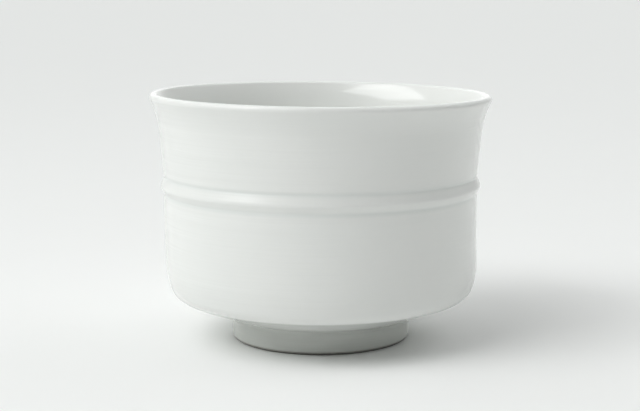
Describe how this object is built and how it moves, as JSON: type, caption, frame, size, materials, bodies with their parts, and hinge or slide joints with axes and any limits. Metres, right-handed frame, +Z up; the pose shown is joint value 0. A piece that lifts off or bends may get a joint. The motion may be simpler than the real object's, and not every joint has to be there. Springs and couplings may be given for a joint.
{
  "type": "matcha bowl",
  "caption": "Handmade white porcelain tea bowl with straight sides, a flared rounded lip, a raised band round the waist and a low foot ring.",
  "frame": {"origin": "centre of the foot ring's bearing face, on the table", "axes": "+Z up along the bowl's axis of turning"},
  "size_m": [0.12, 0.12, 0.087],
  "materials": {
    "porcelain_clay": "bare vitrified porcelain, smooth matt",
    "luting_slip": "vitrified porcelain slip, matt",
    "clear_glaze": "clear gloss glaze over white porcelain"
  },
  "bodies": {
    "root": {"bowl_body": "porcelain_clay", "foot_ring": "porcelain_clay", "foot_slip": "luting_slip", "raised_band": "porcelain_clay", "band_slip": "luting_slip", "inner_glaze": "clear_glaze", "outer_glaze": "clear_glaze", "foot_recess_glaze": "clear_glaze"}
  },
  "joints": []
}
